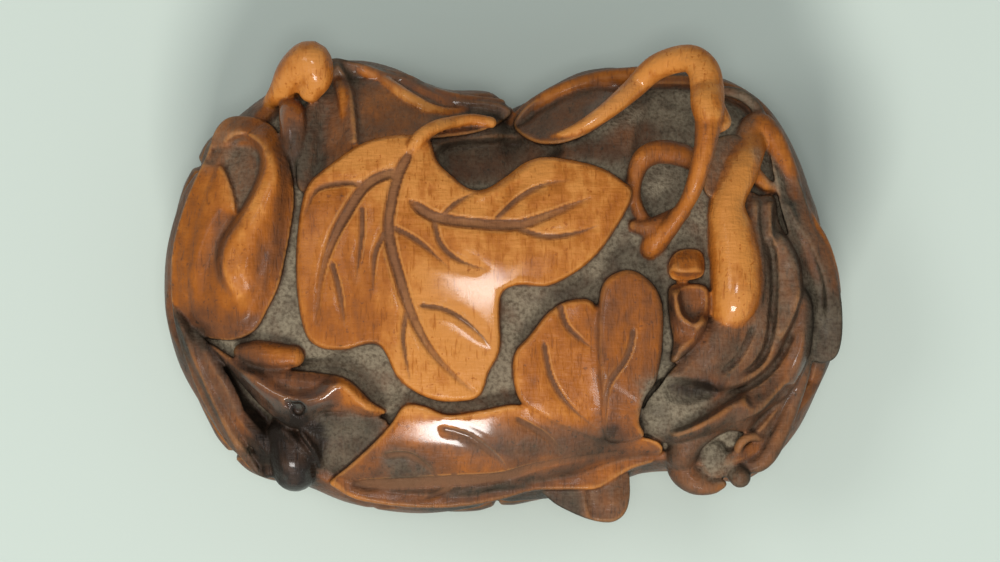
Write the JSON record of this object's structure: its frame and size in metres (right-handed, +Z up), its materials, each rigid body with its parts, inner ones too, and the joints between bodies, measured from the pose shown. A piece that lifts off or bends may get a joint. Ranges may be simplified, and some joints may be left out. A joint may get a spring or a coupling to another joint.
{
  "type": "netsuke",
  "caption": "Carved boxwood netsuke: gourd pods, leaves, bent stems and tendrils grown together in one rounded block, with a free stem arch and a small flat spot below.",
  "frame": {"origin": "middle of the plan, on the flat spot that the netsuke rests on", "axes": "+X to the right along the length, +Y to the back where the stem arch stands, +Z up out of the carved face"},
  "size_m": [0.0502, 0.0356, 0.0216],
  "materials": {
    "boxwood": "polished, worn boxwood with dark dust in the hollows"
  },
  "bodies": {
    "root": {"netsuke": "boxwood"}
  },
  "joints": []
}
